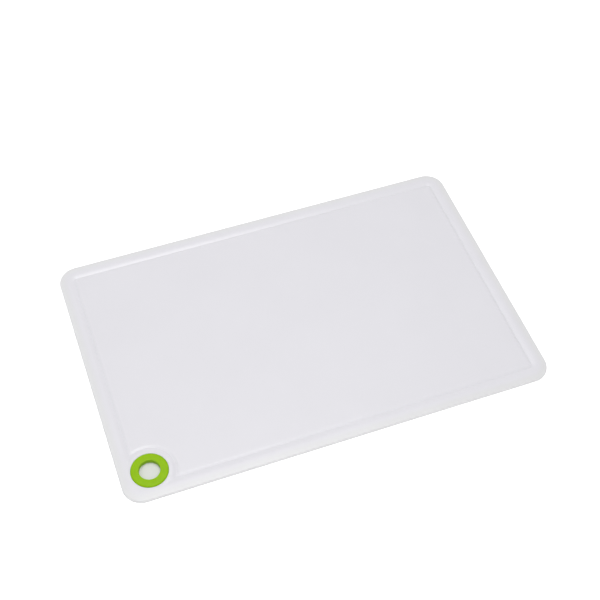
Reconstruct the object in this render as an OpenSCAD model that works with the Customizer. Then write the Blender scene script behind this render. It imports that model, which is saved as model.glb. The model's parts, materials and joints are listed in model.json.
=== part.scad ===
// Cutting board with a juice groove, a raised cutting field and a soft ring to hang it by.
// Millimetres. The origin is the centre of the underside, +X is along the long side and +Z is up.
// The ring is in the corner at -X, -Y.

/* [Board] */
// Length along X
board_w = 360; // [300:1:420]
// Depth along Y
board_d = 239; // [200:1:280]
// Thickness at the crown of the rim
board_t = 3.2; // [3:0.1:5]
// Radius of the corners, seen from above
corner_r = 16; // [16:0.5:22]
// Rounding of the top outer edge
edge_top_r = 1.2; // [0.8:0.1:1.6]
// Rounding of the bottom outer edge
edge_bottom_r = 0.6; // [0.3:0.1:0.8]
// How much lower the outer edge is than the crown of the rim
edge_drop = 0.4; // [0.2:0.1:0.4]

/* [Juice groove] */
// Distance from the outer edge to the crown of the rim
rim_crown = 7.6; // [6.5:0.1:8]
// Distance from the outer edge to the start of the groove's floor
floor_from = 12.2; // [11.2:0.1:12.3]
// Distance from the outer edge to the end of the groove's floor
floor_to = 12.6; // [12.4:0.1:13]
// Distance from the outer edge to the top of the cutting field's slope
field_from = 14.2; // [13.8:0.1:15]
// Depth of the groove below the crown of the rim
groove_depth = 1; // [0.8:0.1:1.2]
// How much lower the cutting field is than the crown of the rim
field_drop = 0.4; // [0.2:0.1:0.5]

/* [Hanging ring] */
// Distance of the ring's centre from both outer edges
ring_inset = 24.3; // [23.8:0.1:25]
// Radius of the hole through the ring
ring_hole_r = 8.4; // [7.5:0.1:9.4]
// Radius of the ring's waist, where it passes through the board
ring_waist_r = 11.2; // [10.8:0.1:12]
// Radius of the ring's upper flange
ring_top_r = 14.9; // [14:0.1:15.2]
// Radius of the ring's lower flange
ring_bottom_r = 14.1; // [13:0.1:14.6]
// Height of the upper flange above the rim
ring_proud = 1.2; // [0.7:0.1:1.4]
// Depth that each flange is let into the board
flange_depth = 0.7; // [0.6:0.1:0.9]
// Width of the slope from the pad round the ring down to the groove
pad_slope = 3.4; // [2.6:0.1:3.8]
// Width of the slope from the groove up to the cutting field, where it passes round the ring
notch_slope = 1.8; // [1.4:0.1:3]

/* [Hidden] */
$fn = 96;

// Gap between a flange and the side of its recess, and above the surface the board rests on
flange_gap = 0.1;
// Roundings of the ring: outer shoulder, mouth of the hole, lower flange
shoulder_r = 1.2;
mouth_r = 0.3;
lower_round_r = 0.4;
// How far a straight cut runs past the surface that it cuts
past = 0.5;
// How far a slope of the groove is drawn past each of its ends, as a part of its length
slope_past = 0.25;
// Angle between the points of a rounded edge
arc_step = 15;

floor_z = board_t - groove_depth;
field_z = board_t - field_drop;
edge_z = board_t - edge_drop;
ring_x = -board_w / 2 + ring_inset;
ring_y = -board_d / 2 + ring_inset;
// The flat pad round the ring reaches out to the rim's crown on both sides
pad_r = ring_inset - rim_crown;
pad_foot_r = pad_r + pad_slope;
notch_foot_r = pad_foot_r + floor_to - floor_from;
ring_low_z = flange_gap;
ring_high_z = board_t + ring_proud;

// Points of an arc about c, from angle a to angle b
function arc(c, r, a, b) = [
    for (i = [0 : abs(b - a) / arc_step])
        let (t = a + i * arc_step * sign(b - a))
            c + r * [cos(t), sin(t)]
];

// Section of the plate's edge: x is the distance inwards from the edge, up to reach
function edge_section(reach) = concat(
    [[reach, 0]],
    arc([edge_bottom_r, edge_bottom_r], edge_bottom_r, 270, 180),
    arc([edge_top_r, edge_z - edge_top_r], edge_top_r, 180, 90),
    [[rim_crown, board_t], [reach, board_t]]
);

// Puts one copy of a corner's shape at each corner's centre
module at_corners(inset) {
    for (sx = [-1, 1], sy = [-1, 1])
        translate([sx * (board_w / 2 - inset), sy * (board_d / 2 - inset), 0])
            children();
}

// A bar along X whose section, drawn across Y and Z, is given by points
module bar_x(length, points) {
    rotate([90, 0, 90])
        linear_extrude(height = length, center = true)
            polygon(points);
}

// Points of a section and of its mirror image, for a bar that is w wide
function both_sides(points, w) = concat(
    [for (p = points) [p[0] - w / 2, p[1]]],
    [for (i = [len(points) - 1 : -1 : 0]) [w / 2 - points[i][0], points[i][1]]]
);

// The same section run round the whole plate: two crossing bars and four turned corners
module run_round(points, inset) {
    bar_x(board_w - 2 * inset, both_sides(points, board_d));
    rotate([0, 0, 90])
        bar_x(board_d - 2 * inset, both_sides(points, board_w));
    at_corners(inset)
        rotate_extrude()
            polygon([for (p = points) [inset - p[0], p[1]]]);
}

// The plate before anything is cut
module blank() {
    run_round(edge_section(corner_r), corner_r);
}

// The ends of a slope of the groove, drawn past both of them. foot and top are where the slope passes
// the heights floor_z and top_z, as distances from the edge or the axis that it follows.
function slope_low(foot, top, top_z) = [foot, floor_z] - slope_past * [top - foot, top_z - floor_z];
function slope_high(foot, top, top_z) = [top, top_z] + slope_past * [top - foot, top_z - floor_z];

// Section of all that lies inwards of a slope from low to high
function inside_section(low, high) = [[corner_r, low[1]], low, high, [corner_r, high[1]]];

// All inside the rim's slope, down to the groove's floor
module inside_rim() {
    run_round(inside_section([floor_from, floor_z], slope_high(floor_from, rim_crown, board_t)), corner_r);
}

// All on the ring's side of a slope that runs round the ring
module ring_side(foot, top, top_z) {
    low = slope_low(foot, top, top_z);
    high = slope_high(foot, top, top_z);
    translate([ring_x, ring_y, low[1]])
        cylinder(h = high[1] - low[1], r1 = low[0], r2 = high[0]);
}

// The raised cutting field with its sloping sides, cut out round the ring
module field() {
    difference() {
        run_round(
            inside_section(slope_low(floor_to, field_from, field_z), [field_from, field_z]),
            corner_r
        );
        ring_side(notch_foot_r, notch_foot_r + notch_slope, field_z);
    }
}

// The corner of the board beyond the ring, which the groove leaves out
module ring_corner() {
    translate([-board_w / 2, -board_d / 2, 0])
        cube([ring_inset, ring_inset, board_t + past]);
}

// The juice groove: what is inside the rim and neither field nor the pad round the ring
module groove() {
    difference() {
        inside_rim();
        field();
        ring_side(pad_foot_r, pad_r, board_t);
        ring_corner();
    }
}

// The stepped hole that holds the ring
module ring_seat() {
    translate([ring_x, ring_y, 0]) {
        translate([0, 0, -past])
            cylinder(h = board_t + 2 * past, r = ring_waist_r);
        translate([0, 0, -past])
            cylinder(h = flange_depth + past, r = ring_bottom_r + flange_gap);
        translate([0, 0, board_t - flange_depth])
            cylinder(h = flange_depth + past, r = ring_top_r + flange_gap);
    }
}

// One moulded plate
module board() {
    color("whitesmoke")
        difference() {
            blank();
            groove();
            ring_seat();
        }
}

// Soft ring that lines the hanging hole and grips the board between its two flanges
module hanging_ring() {
    lower_r = ring_bottom_r - lower_round_r;
    upper_r = ring_top_r - shoulder_r;
    mouth_x = ring_hole_r + mouth_r;
    section = concat(
        arc([lower_r, ring_low_z + lower_round_r], lower_round_r, 270, 360),
        [
            [ring_bottom_r, flange_depth],
            [ring_waist_r, flange_depth],
            [ring_waist_r, board_t - flange_depth],
            [ring_top_r, board_t - flange_depth]
        ],
        arc([upper_r, ring_high_z - shoulder_r], shoulder_r, 0, 90),
        arc([mouth_x, ring_high_z - mouth_r], mouth_r, 90, 180),
        arc([mouth_x, ring_low_z + mouth_r], mouth_r, 180, 270)
    );
    color("yellowgreen")
        translate([ring_x, ring_y, 0])
            rotate_extrude()
                polygon(section);
}

board();
hanging_ring();
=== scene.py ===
import json
import math

import bmesh
import bpy
import numpy as np
from mathutils import Matrix, Vector


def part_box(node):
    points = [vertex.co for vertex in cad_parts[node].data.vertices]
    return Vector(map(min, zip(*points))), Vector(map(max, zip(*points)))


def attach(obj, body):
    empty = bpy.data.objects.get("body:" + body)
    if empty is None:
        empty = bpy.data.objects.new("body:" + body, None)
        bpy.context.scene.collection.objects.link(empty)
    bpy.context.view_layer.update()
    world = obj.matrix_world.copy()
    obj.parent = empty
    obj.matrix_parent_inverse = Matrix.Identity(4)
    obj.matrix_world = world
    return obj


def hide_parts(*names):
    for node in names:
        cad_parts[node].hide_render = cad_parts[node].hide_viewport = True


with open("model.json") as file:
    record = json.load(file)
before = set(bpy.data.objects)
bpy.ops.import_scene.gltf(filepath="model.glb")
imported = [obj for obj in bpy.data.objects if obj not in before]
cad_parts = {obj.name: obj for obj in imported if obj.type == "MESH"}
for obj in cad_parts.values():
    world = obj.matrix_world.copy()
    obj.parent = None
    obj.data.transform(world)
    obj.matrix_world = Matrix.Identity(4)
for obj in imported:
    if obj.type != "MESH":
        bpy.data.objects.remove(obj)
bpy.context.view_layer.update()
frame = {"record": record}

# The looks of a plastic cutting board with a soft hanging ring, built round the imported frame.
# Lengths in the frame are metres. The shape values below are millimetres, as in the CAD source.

MM = 0.001

# ---------------------------------------------------------------- sizes from the frame

BOARD_LOW, BOARD_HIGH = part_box("board")
RING_LOW, RING_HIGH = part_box("hanging_ring")
HOLE = next(m for m in frame["record"]["mounts"] if m["name"] == "hanging_hole")

WIDTH = (BOARD_HIGH.x - BOARD_LOW.x) / MM
DEPTH = (BOARD_HIGH.y - BOARD_LOW.y) / MM
THICKNESS = BOARD_HIGH.z / MM
RING_X = HOLE["pos_m"][0] / MM
RING_Y = HOLE["pos_m"][1] / MM
RING_LOW_Z = RING_LOW.z / MM
RING_HIGH_Z = RING_HIGH.z / MM
RING_HOLE_R = HOLE["dims"]["r_mm"]
RING_TOP_R = (RING_HIGH.x - RING_LOW.x) / 2 / MM

# ---------------------------------------------------------------- sizes as in the CAD source

# The ring and its seat
RING_BOTTOM_R = 14.1
RING_WAIST_R = 11.2
FLANGE_DEPTH = 0.7
FLANGE_GAP = 0.1
MOUTH_R = 0.3
LOWER_ROUND_R = 0.4

# The board's edge and rim
CORNER_R = 16.0
EDGE_TOP_R = 1.2
EDGE_BOTTOM_R = 0.6
EDGE_DROP = 0.4
RIM_CROWN = 7.6

# The groove and the cutting field, as distances inwards from the outline and depths below the crown
GROOVE_FOOT = 12.2
FIELD_FOOT = 12.6
FIELD_TOP = 14.2
GROOVE_DEPTH = 1.0
FIELD_DROP = 0.4

# The flat pad round the ring, and the slope of the field that passes round it
PAD_R = RING_X + WIDTH / 2 - RIM_CROWN
PAD_SLOPE = 3.4
NOTCH_FOOT_R = PAD_R + PAD_SLOPE + FIELD_FOOT - GROOVE_FOOT
NOTCH_SLOPE = 1.8

# ---------------------------------------------------------------- softness that only the looks have

# The greatest height that a soft crossing of two surfaces adds or takes is half of these
VALLEY_SOFTNESS = 0.10
FIELD_EDGE_SOFTNESS = 0.14
# Width over which the rim starts to fall away from its crown
CROWN_SOFTNESS = 2.0
# Corners of the cutting field, seen from above
FIELD_CORNER_R = 4.5
# Powers of the domed slopes that fall from the rim and from the pad into the groove, and how
# closely the two are joined where they meet
RIM_POWER = 2
PAD_POWER = 1.5
JOIN_POWER = 3

# The ring's shoulder, a rounded form squarer than an ellipse, and the rise of its face
SHOULDER_WIDTH = 1.7
SHOULDER_HEIGHT = 1.2
SHOULDER_POWER = 2.2
FACE_DOME = 0.12

# ---------------------------------------------------------------- fineness of the meshes

# The grid inside the loops: fine near the ring for this far, and coarse beyond
FINE_REACH = 34.0
FINE_STEP = 0.34
COARSE_STEP = 6.0
# Loops round the board: insets of those underneath, and (start, spacing) of those on top
UNDER_INSETS = (12.0, 6.0, 2.5)
TOP_STOPS = [(1.8, 0.5), (8.0, 0.35), (11.0, 0.12), (12.6, 0.2), (15.8, 0)]
CORNER_STEPS = 14
EDGE_BOTTOM_STEPS = 6
EDGE_TOP_STEPS = 10
# The ring: steps round its axis, and steps along each part of its section
TURN_STEPS = 144
SHOULDER_STEPS = 18
FACE_STEPS = 8
MOUTH_STEPS = 6
LOWER_ROUND_STEPS = 5
# Edges sharper than this stay sharp
SHARP_ANGLE = math.radians(40)

# ---------------------------------------------------------------- looks

# Linear colours of the plastic: its field, its rim, and how dark its faintest clouds are
FIELD_COLOUR = (0.700, 0.692, 0.728)
RIM_COLOUR = (0.694, 0.692, 0.703)
CLOUD_SHADES = (0.985, 0.985, 0.985), (1.0, 1.0, 1.0)
# The rim's colour starts this far from the outline and is full at the second distance
RIM_TONE_FROM, RIM_TONE_FULL = 7.0, 3.0
RING_COLOURS = (0.264, 0.484, 0.002), (0.250, 0.460, 0.001)

# The stage: heights are millimetres below the surface that the board lies on
FLOOR_GREY, FLOOR_GLOW, FLOOR_SINK = 0.97, 0.30, 0.04
# The underlay's grey is partly the table's own grey and partly painted shade: it is darker to stand
# for the shade on the floor in the ring's hole
UNDERLAY_GREY_AND_SHADE, UNDERLAY_SINK = 0.71, 0.02
FLOOR_HALF_SIZE_M = 20.0

# Strength of the room's light, weakest overhead and at the board's ends, and strongest in front
# of the board and behind it
ROOM_WEAKEST, ROOM_STRONGEST = 0.38, 0.92
# Name, place in metres, width, height and watts of each soft box, which all aim at the board
SOFT_BOXES = (
    ("overhead_box", (0, 0, 1.3), 0.5, 0.5, 6.0),
    ("ceiling_panel", (-0.05, 0.2, 1.3), 1.0, 0.6, 2.8),
    ("left_panel", (-0.7, 0.1, 1.1), 0.8, 0.8, 1.4),
    ("front_box", (0, -0.6, 1.1), 0.5, 0.5, 1.1),
)

# The camera: degrees, metres from the point that it looks at, and millimetres of lens and sensor
CAMERA_AZIMUTH, CAMERA_ELEVATION, CAMERA_ROLL = -20.751, 53.123, 1.139
CAMERA_TARGET = Vector((0.01031, 0.02306, 0))
CAMERA_DISTANCE = 1.02199
CAMERA_LENS = 71.444
CAMERA_SENSOR = 36.0

# Sockets of a colour mix node, whose names repeat
MIX_FACTOR, MIX_FIRST, MIX_SECOND, MIX_RESULT = 0, 6, 7, 2
# The part of its range in which a noise texture mostly lies
NOISE_LOW, NOISE_HIGH = 0.3, 0.7


# ---------------------------------------------------------------- small helpers

def smooth_min(a, b, soft):
    """The lower of two heights, rounded where they cross."""
    return 0.5 * (a + b - np.sqrt((a - b) ** 2 + soft * soft))


def smooth_max(a, b, soft):
    """The higher of two heights, rounded where they cross."""
    return 0.5 * (a + b + np.sqrt((a - b) ** 2 + soft * soft))


def graded(stops):
    """Numbers from the first stop to the last. Each stop is (number, spacing up to the next)."""
    out = [stops[0][0]]
    for (start, step), (end, _) in zip(stops, stops[1:]):
        count = max(1, round((end - start) / step))
        out += [start + (end - start) * i / count for i in range(1, count + 1)]
    return out


def new_object(name, data):
    """Links a new object that holds a mesh, a light or a camera."""
    made = bpy.data.objects.new(name, data)
    bpy.context.scene.collection.objects.link(made)
    return made


def shade(mesh):
    """Shades a mesh smooth except at real edges."""
    mesh.polygons.foreach_set("use_smooth", [True] * len(mesh.polygons))
    mesh.set_sharp_from_angle(angle=SHARP_ANGLE)


# ---------------------------------------------------------------- the board's surface

def margin(x, y):
    """Distance inwards from the board's outline, in plan."""
    ax = np.abs(x) - (WIDTH / 2 - CORNER_R)
    ay = np.abs(y) - (DEPTH / 2 - CORNER_R)
    outside = np.hypot(np.maximum(ax, 0), np.maximum(ay, 0))
    inside = np.minimum(np.maximum(ax, ay), 0)
    return CORNER_R - outside - inside


def joined(a, b):
    """Follows the lower of two slopes that start at 0, and stays 0 where either one does."""
    tiny = 1e-9
    both = np.maximum(a, tiny) ** -JOIN_POWER + np.maximum(b, tiny) ** -JOIN_POWER
    return both ** (-1 / JOIN_POWER)


def edge_fall(inward):
    """How far the rim has fallen from its crown on its outer side: a straight fall, rounded at
    the crown."""
    def fall(width):
        return np.hypot(width, CROWN_SOFTNESS) - CROWN_SOFTNESS
    return EDGE_DROP * fall(np.maximum(RIM_CROWN - inward, 0)) / fall(RIM_CROWN - EDGE_TOP_R)


def field_depth(inward, from_ring):
    """Depth below the crown of the cutting field and its sloping sides, which go on down past the
    groove's floor."""
    width = FIELD_TOP - FIELD_FOOT
    from_side = inward - FIELD_FOOT
    from_notch = (from_ring - NOTCH_FOOT_R) * (width / NOTCH_SLOPE)
    to_side = np.maximum(FIELD_CORNER_R - from_side, 0)
    to_notch = np.maximum(FIELD_CORNER_R - from_notch, 0)
    into_field = FIELD_CORNER_R - np.hypot(to_side, to_notch)
    depth = GROOVE_DEPTH - (GROOVE_DEPTH - FIELD_DROP) * into_field / width
    return smooth_max(depth, FIELD_DROP, FIELD_EDGE_SOFTNESS)


def depth_at(x, y):
    """How far the top surface lies below the rim's crown."""
    inward = margin(x, y)
    dx, dy = x - RING_X, y - RING_Y
    from_ring = np.hypot(dx, dy)
    rim = (np.maximum(inward - RIM_CROWN, 0) / (GROOVE_FOOT - RIM_CROWN)) ** RIM_POWER
    pad = (np.maximum(from_ring - PAD_R, 0) / PAD_SLOPE) ** PAD_POWER
    pad = np.where((dx < 0) & (dy < 0), 0, pad)
    sides = GROOVE_DEPTH * joined(rim, pad)
    groove = smooth_min(sides, field_depth(inward, from_ring), VALLEY_SOFTNESS)
    return np.maximum(groove, 0) + edge_fall(inward)


# ---------------------------------------------------------------- the board's mesh

def edge_section():
    """(inset, height) of the board's edge, from the underside round to the start of the rim."""
    out = []
    for t in np.radians(np.linspace(-90, 0, EDGE_BOTTOM_STEPS + 1)):
        out.append((EDGE_BOTTOM_R * (1 - math.cos(t)), EDGE_BOTTOM_R * (1 + math.sin(t))))
    near = 0.5
    slope = (edge_fall(EDGE_TOP_R - near) - edge_fall(EDGE_TOP_R + near)) / (2 * near)
    last = math.radians(90 - math.degrees(slope))
    end_z = THICKNESS - edge_fall(EDGE_TOP_R * (1 - math.cos(last)))
    for t in np.linspace(0, last, EDGE_TOP_STEPS + 1):
        rise = EDGE_TOP_R * (math.sin(t) - math.sin(last))
        out.append((EDGE_TOP_R * (1 - math.cos(t)), end_z + rise))
    return out


def outline(inset, xs, ys):
    """One loop round the board at a distance inwards, in plan, with the grid's own points on its
    sides."""
    r = CORNER_R - inset
    half_w, half_d = WIDTH / 2 - CORNER_R, DEPTH / 2 - CORNER_R
    points = []

    def corner(cx, cy, start):
        for i in range(1, CORNER_STEPS):
            t = math.radians(start + 90 * i / CORNER_STEPS)
            points.append((cx + r * math.cos(t), cy + r * math.sin(t)))

    points += [(x, -half_d - r) for x in xs]
    corner(half_w, -half_d, 270)
    points += [(half_w + r, y) for y in ys]
    corner(half_w, half_d, 0)
    points += [(x, half_d + r) for x in reversed(xs)]
    corner(-half_w, half_d, 90)
    points += [(-half_w - r, y) for y in reversed(ys)]
    corner(-half_w, -half_d, 180)
    return points


def border(grid):
    """The grid's own border, with each corner repeated for the loops' rounded corners."""
    turned_grid = list(zip(*grid))
    spare = CORNER_STEPS - 1
    near, far = list(turned_grid[0]), list(turned_grid[-1])
    left, right = list(grid[0]), list(grid[-1])
    out = near + [near[-1]] * spare
    out += right + [right[-1]] * spare
    out += far[::-1] + [far[0]] * spare
    out += left[::-1] + [left[0]] * spare
    return out


def grid_faces(grid, up):
    """Faces of a grid of vertices, turned up or down."""
    faces = []
    for column, beyond in zip(grid, grid[1:]):
        for j in range(len(column) - 1):
            face = [column[j], beyond[j], beyond[j + 1], column[j + 1]]
            faces.append(face if up else face[::-1])
    return faces


def loop_faces(loops):
    """Faces between each loop and the next. Where a grid's corner repeats, a face has three sides
    or none."""
    faces = []
    for low, high in zip(loops, loops[1:]):
        for i in range(len(low)):
            j = (i + 1) % len(low)
            face = list(dict.fromkeys((low[i], low[j], high[j], high[i])))
            if len(face) > 2:
                faces.append(face)
    return faces


def board_mesh():
    """The whole plate as one closed skin: loops round the edge and a grid inside them, above and
    below. A height of None stands for the top surface."""
    half_w, half_d = WIDTH / 2 - CORNER_R, DEPTH / 2 - CORNER_R
    xs, ys = (
        graded([(-half, FINE_STEP), (-half + FINE_REACH, COARSE_STEP), (half, 0)])
        for half in (half_w, half_d)
    )
    rows = [(inset, 0.0) for inset in UNDER_INSETS]
    rows += edge_section()
    rows += [(inset, None) for inset in graded(TOP_STOPS)]
    verts = []

    def add(x, y, height):
        verts.append((x, y, height))
        return len(verts) - 1

    loops = [[add(x, y, height) for x, y in outline(inset, xs, ys)] for inset, height in rows]
    under, over = ([[add(x, y, height) for y in ys] for x in xs] for height in (0.0, None))
    faces = loop_faces([border(under)] + loops + [border(over)])
    faces += grid_faces(under, up=False) + grid_faces(over, up=True)

    on_top = np.array([height is None for _, _, height in verts])
    points = np.array([(x, y, height or 0.0) for x, y, height in verts])
    points[on_top, 2] = THICKNESS - depth_at(points[on_top, 0], points[on_top, 1])
    mesh = bpy.data.meshes.new("board_plate")
    mesh.from_pydata((points * MM).tolist(), [], faces)
    mesh.validate()
    return mesh


# ---------------------------------------------------------------- turned shapes

def arc(cx, cz, r, start, end, steps):
    """Points of an arc in a section."""
    return [
        (cx + r * math.cos(math.radians(t)), cz + r * math.sin(math.radians(t)))
        for t in np.linspace(start, end, steps + 1)
    ]


def turned(name, section, closed=True):
    """A mesh made by turning a section of (radius, height) points about the ring's axis."""
    verts = []
    for i in range(TURN_STEPS):
        t = 2 * math.pi * i / TURN_STEPS
        verts += [(RING_X + r * math.cos(t), RING_Y + r * math.sin(t), z) for r, z in section]
    n = len(section)
    faces = []
    for i in range(TURN_STEPS):
        k = (i + 1) % TURN_STEPS
        for j in range(n if closed else n - 1):
            m = (j + 1) % n
            faces.append((i * n + j, k * n + j, k * n + m, i * n + m))
    mesh = bpy.data.meshes.new(name)
    mesh.from_pydata((np.array(verts) * MM).tolist(), [], faces)
    return mesh


def seat_cutter():
    """A solid of the stepped hole that the ring sits in, for cutting the plate."""
    past = 1.0
    merge_distance = 1e-7
    upper, lower = RING_TOP_R + FLANGE_GAP, RING_BOTTOM_R + FLANGE_GAP
    section = [
        (0.0, -past), (lower, -past),
        (lower, FLANGE_DEPTH), (RING_WAIST_R, FLANGE_DEPTH),
        (RING_WAIST_R, THICKNESS - FLANGE_DEPTH), (upper, THICKNESS - FLANGE_DEPTH),
        (upper, THICKNESS + past), (0.0, THICKNESS + past),
    ]
    mesh = turned("seat_cutter", section, closed=False)
    work = bmesh.new()
    work.from_mesh(mesh)
    bmesh.ops.remove_doubles(work, verts=work.verts, dist=merge_distance)
    bmesh.ops.recalc_face_normals(work, faces=work.faces)
    work.to_mesh(mesh)
    work.free()
    return new_object("seat_cutter", mesh)


def make_board():
    """The plate with the ring's seat cut into it."""
    plate = new_object("board_moulding", board_mesh())
    cutter = seat_cutter()
    cut = plate.modifiers.new("seat", "BOOLEAN")
    cut.operation = "DIFFERENCE"
    cut.solver = "EXACT"
    cut.object = cutter
    bpy.context.view_layer.update()
    cut_plate = plate.evaluated_get(bpy.context.evaluated_depsgraph_get())
    done = bpy.data.meshes.new_from_object(cut_plate)
    plate.modifiers.clear()
    plate.data = done
    bpy.data.objects.remove(cutter)
    shade(done)
    return plate


def ring_top_section():
    """(radius, height) from the upper flange's outer wall over its rounded shoulder and gently
    domed face to the wall of the hole."""
    face_from = RING_TOP_R - SHOULDER_WIDTH
    face_to = RING_HOLE_R + MOUTH_R
    middle = (RING_HOLE_R + face_from) / 2

    def face_z(radius):
        return RING_HIGH_Z - FACE_DOME * ((radius - middle) / (face_from - middle)) ** 2

    out = []
    for t in np.radians(np.linspace(90, 0, SHOULDER_STEPS + 1)):
        across = math.sin(t) ** (2 / SHOULDER_POWER)
        fall = SHOULDER_HEIGHT * (1 - max(math.cos(t), 0) ** (2 / SHOULDER_POWER))
        radius = face_from + SHOULDER_WIDTH * across
        out.append((radius, face_z(radius) - fall))
    for radius in np.linspace(face_from, face_to, FACE_STEPS + 1)[1:-1]:
        out.append((radius, face_z(radius)))
    return out + arc(face_to, face_z(RING_HOLE_R) - MOUTH_R, MOUTH_R, 90, 180, MOUTH_STEPS)


def make_ring():
    """The soft ring: lower flange, waist, upper flange and the wall of its hole."""
    lower_x, lower_z = RING_BOTTOM_R - LOWER_ROUND_R, RING_LOW_Z + LOWER_ROUND_R
    section = arc(lower_x, lower_z, LOWER_ROUND_R, -90, 0, LOWER_ROUND_STEPS)
    section += [(RING_BOTTOM_R, FLANGE_DEPTH), (RING_WAIST_R, FLANGE_DEPTH)]
    section += [(RING_WAIST_R, THICKNESS - FLANGE_DEPTH), (RING_TOP_R, THICKNESS - FLANGE_DEPTH)]
    section += ring_top_section()
    mouth_x, mouth_z = RING_HOLE_R + MOUTH_R, RING_LOW_Z + MOUTH_R
    section += arc(mouth_x, mouth_z, MOUTH_R, 180, 270, MOUTH_STEPS)
    mesh = turned("hanging_ring_soft", section)
    shade(mesh)
    return new_object("hanging_ring_soft", mesh)


# ---------------------------------------------------------------- materials

class Nodes:
    """Short calls for building one material's node tree."""

    def __init__(self, name):
        self.material = bpy.data.materials.new(name)
        self.material.use_nodes = True
        self.tree = self.material.node_tree
        self.shader = self.tree.nodes["Principled BSDF"]

    def add(self, kind, **values):
        """A new node with some of its settings."""
        node = self.tree.nodes.new(kind)
        for key, value in values.items():
            setattr(node, key, value)
        return node

    def link(self, out, into):
        """Joins an output to an input."""
        self.tree.links.new(out, into)

    def feed(self, source, into):
        """Gives an input a number, a colour or an output."""
        if isinstance(source, bpy.types.NodeSocket):
            self.link(source, into)
        elif isinstance(source, tuple):
            into.default_value = (*source, 1.0)
        else:
            into.default_value = source

    def sockets(self, **values):
        """Sets the shader's own sockets. A socket's name has its spaces as underscores here."""
        for key, value in values.items():
            self.shader.inputs[key.replace("_", " ")].default_value = value

    def noise(self, size_mm, detail=2.0):
        """Noise whose blobs are about size_mm across."""
        place = self.add("ShaderNodeTexCoord")
        made = self.add("ShaderNodeTexNoise")
        made.inputs["Scale"].default_value = 1 / (size_mm * MM)
        made.inputs["Detail"].default_value = detail
        made.inputs["Roughness"].default_value = 0.5
        self.link(place.outputs["Object"], made.inputs["Vector"])
        return made.outputs["Fac"]

    def ranged(self, value, low, high):
        """A noise value, brought to low..high."""
        made = self.add("ShaderNodeMapRange")
        made.inputs["From Min"].default_value = NOISE_LOW
        made.inputs["From Max"].default_value = NOISE_HIGH
        made.inputs["To Min"].default_value = low
        made.inputs["To Max"].default_value = high
        self.link(value, made.inputs["Value"])
        return made.outputs["Result"]

    def mixed(self, factor, first, second, blend="MIX"):
        """A colour from two, each a colour or an output."""
        made = self.add("ShaderNodeMix", data_type="RGBA", blend_type=blend)
        self.feed(factor, made.inputs[MIX_FACTOR])
        self.feed(first, made.inputs[MIX_FIRST])
        self.feed(second, made.inputs[MIX_SECOND])
        return made.outputs[MIX_RESULT]

    def bump(self, height, distance_mm, after=None):
        """A bump of that height, stacked on the one before it."""
        made = self.add("ShaderNodeBump")
        made.inputs["Strength"].default_value = 1.0
        made.inputs["Distance"].default_value = distance_mm * MM
        self.link(height, made.inputs["Height"])
        if after is not None:
            self.link(after, made.inputs["Normal"])
        return made.outputs["Normal"]


def board_material():
    """Satin white polyolefin, a little translucent, with a fine moulded grain."""
    n = Nodes("white_polyolefin")
    edge = n.add("ShaderNodeAttribute", attribute_name="rim_tone")
    tone = n.mixed(edge.outputs["Fac"], FIELD_COLOUR, RIM_COLOUR)
    # Faint clouds, an uneven gloss, and a slow waviness under a fine grain
    clouds = n.mixed(n.ranged(n.noise(55, detail=3), 0.0, 1.0), *CLOUD_SHADES)
    n.link(n.mixed(1.0, tone, clouds, blend="MULTIPLY"), n.shader.inputs["Base Color"])
    n.link(n.ranged(n.noise(2.2, detail=4), 0.30, 0.40), n.shader.inputs["Roughness"])
    slow = n.bump(n.noise(14), 0.03)
    n.link(n.bump(n.noise(0.45), 0.006, after=slow), n.shader.inputs["Normal"])
    n.sockets(
        IOR=1.49,
        Subsurface_Weight=0.12,
        Subsurface_Radius=(1.0, 1.0, 1.0),
        Subsurface_Scale=2.0 * MM,
    )
    return n.material


def ring_material():
    """Satin lime green elastomer."""
    n = Nodes("green_elastomer")
    # Faint clouds, an uneven gloss and a fine grain
    colour = n.mixed(n.ranged(n.noise(4, detail=3), 0, 1), *RING_COLOURS)
    n.link(colour, n.shader.inputs["Base Color"])
    n.link(n.ranged(n.noise(1.2, detail=3), 0.42, 0.54), n.shader.inputs["Roughness"])
    n.link(n.bump(n.noise(0.35), 0.01), n.shader.inputs["Normal"])
    n.sockets(
        Specular_IOR_Level=0.16,
        Subsurface_Weight=0.15,
        Subsurface_Radius=(0.5, 1.0, 0.1),
        Subsurface_Scale=1.0 * MM,
    )
    return n.material


def floor_material(name, grey, glow):
    """Plain matt paper, which may be lit through from below."""
    n = Nodes(name)
    n.sockets(
        Base_Color=(grey, grey, grey, 1),
        Roughness=0.9,
        Specular_IOR_Level=0.0,
        Emission_Color=(1, 1, 1, 1),
        Emission_Strength=glow,
    )
    return n.material


def paint(obj, material):
    """Gives the whole object one material."""
    obj.data.materials.clear()
    obj.data.materials.append(material)
    obj.data.polygons.foreach_set("material_index", [0] * len(obj.data.polygons))


def tone_rim(obj):
    """Stores how near each point is to the outline, for the plastic's tint."""
    points = np.empty(len(obj.data.vertices) * 3)
    obj.data.vertices.foreach_get("co", points)
    points = points.reshape(-1, 3) / MM
    inward = margin(points[:, 0], points[:, 1])
    near_edge = np.clip((RIM_TONE_FROM - inward) / (RIM_TONE_FROM - RIM_TONE_FULL), 0, 1)
    values = obj.data.attributes.new("rim_tone", "FLOAT", "POINT")
    values.data.foreach_set("value", near_edge.astype(np.float32))


# ---------------------------------------------------------------- stage, light and camera

def make_sheet(name, half_w, half_d, height, material):
    """A flat sheet of the stage, centred under the board."""
    mesh = bpy.data.meshes.new(name)
    corners = [
        (-half_w, -half_d, 0), (half_w, -half_d, 0), (half_w, half_d, 0), (-half_w, half_d, 0),
    ]
    mesh.from_pydata(corners, [], [(0, 1, 2, 3)])
    sheet = new_object(name, mesh)
    sheet.location.z = height
    paint(sheet, material)


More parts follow.
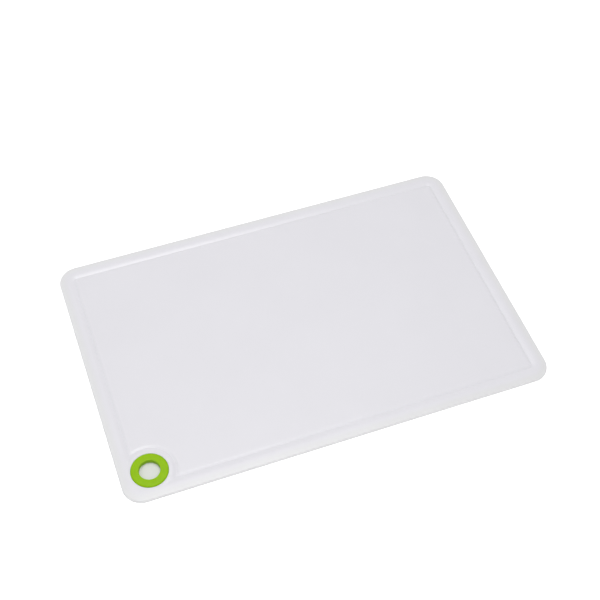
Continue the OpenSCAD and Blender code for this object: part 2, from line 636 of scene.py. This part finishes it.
def make_floor():
    """A bright floor, wide enough for every view, and the greyer sheet that shows through the
    ring. The sheet's grey is partly the table's own grey and partly painted shade, darker for
    the floor seen in the ring's hole."""
    bright = floor_material("bright_floor", FLOOR_GREY, FLOOR_GLOW)
    make_sheet("floor", FLOOR_HALF_SIZE_M, FLOOR_HALF_SIZE_M, -FLOOR_SINK * MM, bright)
    # Partly the table's grey and partly painted shade for the floor in the ring's hole
    grey = floor_material("underlay_grey_and_shade", UNDERLAY_GREY_AND_SHADE, 0.0)
    half_w, half_d = (WIDTH / 2 - CORNER_R) * MM, (DEPTH / 2 - CORNER_R) * MM
    make_sheet("underlay", half_w, half_d, -UNDERLAY_SINK * MM, grey)


def make_room():
    """A white room that is brighter in front of the board and behind it than at its ends."""
    world = bpy.data.worlds.new("room")
    world.use_nodes = True
    tree = world.node_tree
    background = tree.nodes["Background"]
    direction = tree.nodes.new("ShaderNodeTexCoord")
    split = tree.nodes.new("ShaderNodeSeparateXYZ")
    tree.links.new(direction.outputs["Generated"], split.inputs[0])
    square = tree.nodes.new("ShaderNodeMath")
    square.operation = "MULTIPLY"
    for factor in square.inputs[:2]:
        tree.links.new(split.outputs["Y"], factor)
    strength = tree.nodes.new("ShaderNodeMapRange")
    strength.inputs["To Min"].default_value = ROOM_WEAKEST
    strength.inputs["To Max"].default_value = ROOM_STRONGEST
    tree.links.new(square.outputs[0], strength.inputs["Value"])
    tree.links.new(strength.outputs["Result"], background.inputs["Strength"])
    background.inputs["Color"].default_value = (1, 1, 1, 1)
    bpy.context.scene.world = world


def make_lights():
    """The soft boxes over the board."""
    for name, place, width, height, watts in SOFT_BOXES:
        box = bpy.data.lights.new(name, "AREA")
        box.shape = "RECTANGLE"
        box.size, box.size_y = width, height
        box.energy = watts
        lamp = new_object(name, box)
        lamp.location = place
        lamp.rotation_euler = (-Vector(place)).to_track_quat("-Z", "Y").to_euler()


def make_camera():
    """The photograph's view: a long lens, looking down at the board from near its left end."""
    azimuth, elevation, roll = (
        math.radians(a) for a in (CAMERA_AZIMUTH, CAMERA_ELEVATION, CAMERA_ROLL)
    )
    back = Vector((
        math.sin(azimuth) * math.cos(elevation),
        -math.cos(azimuth) * math.cos(elevation),
        math.sin(elevation),
    ))
    right = Vector((0, 0, 1)).cross(back).normalized()
    up = back.cross(right)
    turned_right = right * math.cos(roll) + up * math.sin(roll)
    turned_up = up * math.cos(roll) - right * math.sin(roll)
    facing = Matrix((turned_right, turned_up, back)).transposed().to_4x4()
    lens = bpy.data.cameras.new("camera")
    lens.sensor_width = CAMERA_SENSOR
    lens.lens = CAMERA_LENS
    camera = new_object("camera", lens)
    camera.matrix_world = Matrix.Translation(CAMERA_TARGET + back * CAMERA_DISTANCE) @ facing
    bpy.context.scene.camera = camera


# ---------------------------------------------------------------- the scene

make_camera()
make_room()
make_lights()
make_floor()
bpy.context.scene.view_settings.view_transform = "Standard"

board = make_board()
tone_rim(board)
paint(board, board_material())
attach(board, "root")
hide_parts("board")

ring = make_ring()
paint(ring, ring_material())
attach(ring, "root")
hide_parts("hanging_ring")
